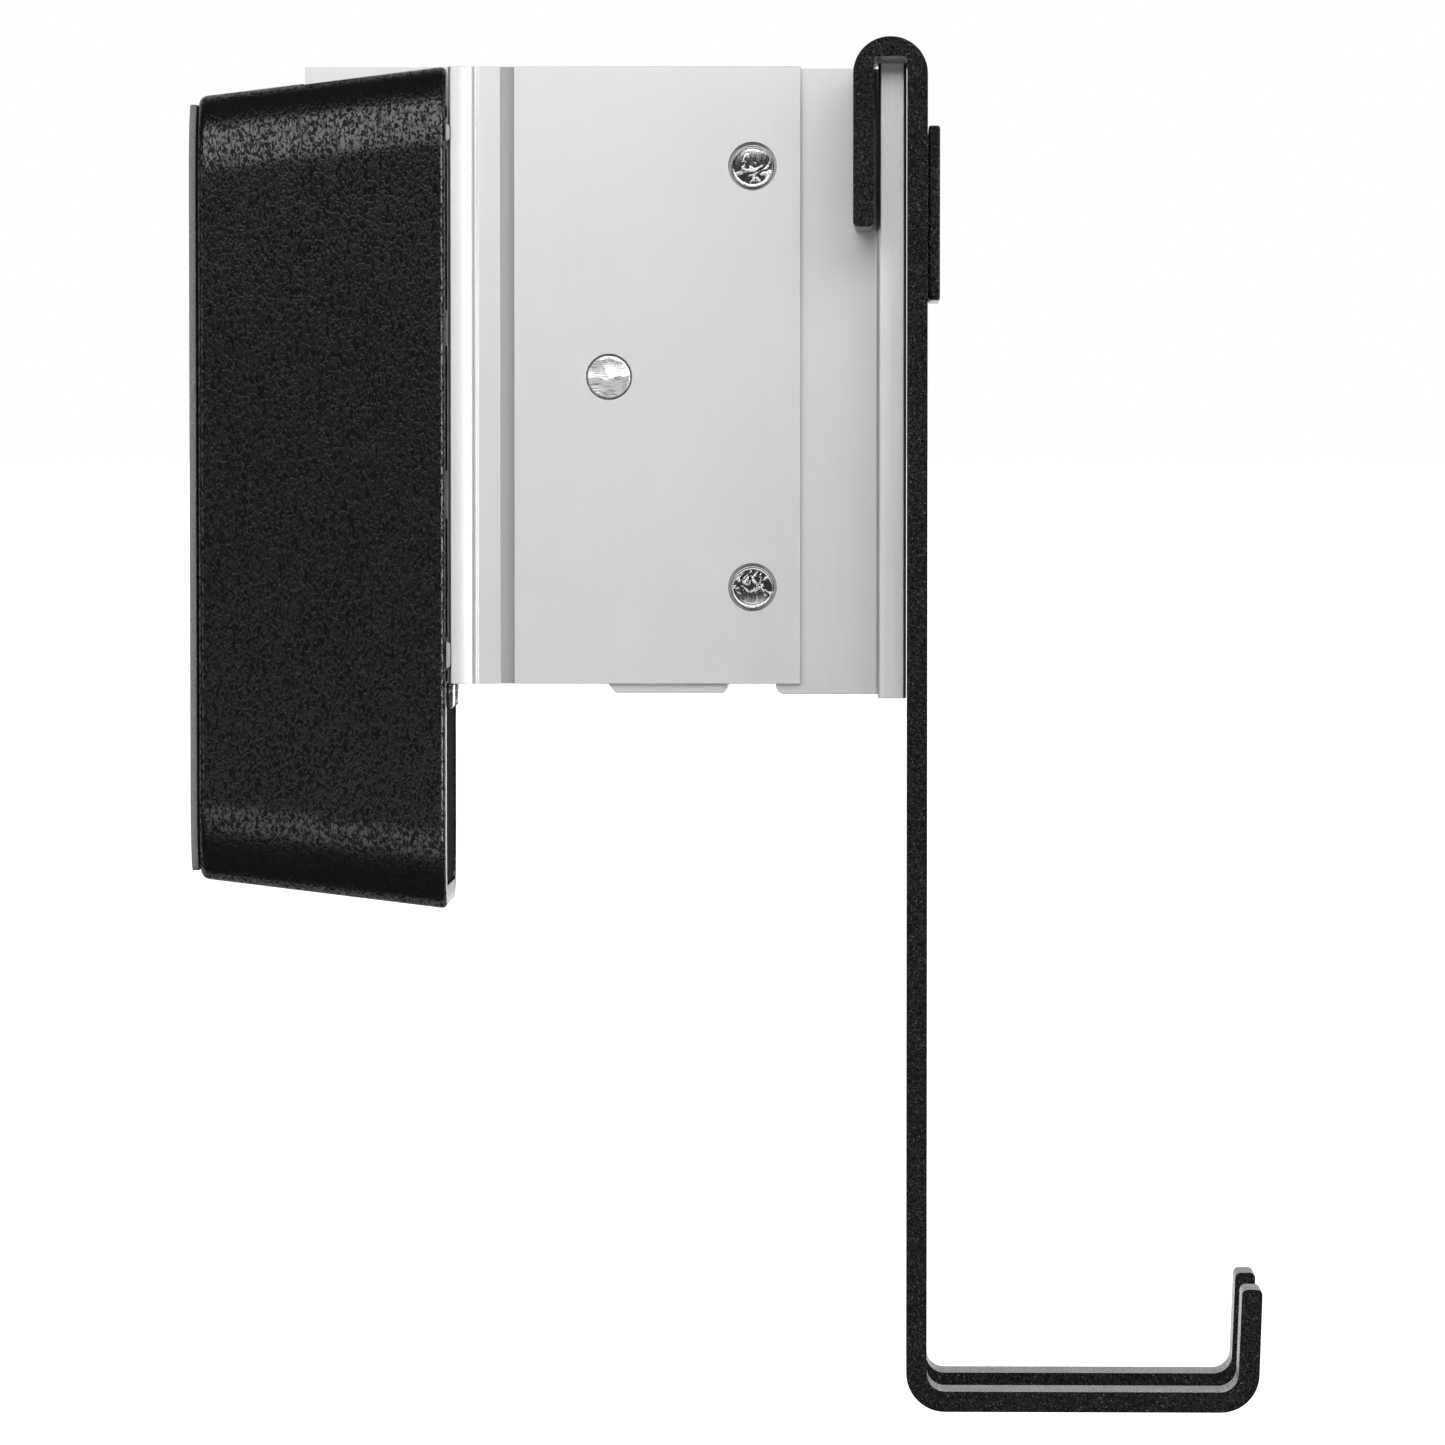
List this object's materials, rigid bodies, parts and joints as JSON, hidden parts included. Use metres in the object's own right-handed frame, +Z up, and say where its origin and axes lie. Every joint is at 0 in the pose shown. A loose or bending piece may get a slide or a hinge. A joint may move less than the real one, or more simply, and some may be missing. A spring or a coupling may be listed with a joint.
{
  "type": "headphone hook",
  "caption": "Forked headphone hook of bent black flat steel, hung over the rail plate of an aluminium panel bracket with a tapered black housing.",
  "frame": {"origin": "middle of the adhesive pad's back face, where the bracket sticks to the panel", "axes": "+X out from the panel, +Z up, +Y along the rail away from the hook's near edge"},
  "size_m": [0.1598, 0.0688, 0.2011],
  "materials": {
    "black_coat": "fine wrinkle powder coat, satin",
    "satin_aluminium": "satin anodised extrusion with fine vertical lines",
    "grained_plastic": "leather-grained moulding, semi-matt",
    "pale_plastic": "smooth pale grey moulding",
    "foam_tape": "grey acrylic foam tape",
    "bright_steel": "bright nickel-plated steel",
    "screw_steel": "zinc-plated steel",
    "cast_metal": "as-cast zinc alloy"
  },
  "bodies": {
    "bracket": {"adhesive_pad": "foam_tape", "housing_shell": "grained_plastic", "face_plate": "grained_plastic", "latch_tongue_upper": "pale_plastic", "latch_tongue_lower": "pale_plastic", "clip_near": "bright_steel", "clip_far": "bright_steel", "anchor_block": "cast_metal", "back_screw_upper": "screw_steel", "back_screw_lower": "screw_steel", "channel_screw_upper": "screw_steel", "channel_screw_lower": "screw_steel", "channel": "satin_aluminium", "rail_profile": "satin_aluminium", "spacer": "satin_aluminium", "stud_upper_near": "bright_steel", "stud_lower_near": "bright_steel", "stud_upper_far": "bright_steel", "stud_lower_far": "bright_steel", "centre_rivet_near": "bright_steel", "centre_rivet_far": "bright_steel"},
    "hook": {"hook": "black_coat", "front_plate": "black_coat"}
  },
  "joints": [
    {"name": "hook_slide", "type": "slide", "parent": "bracket", "child": "hook", "axis": [0, -1, 0], "range_m": [0, 0.01]}
  ]
}
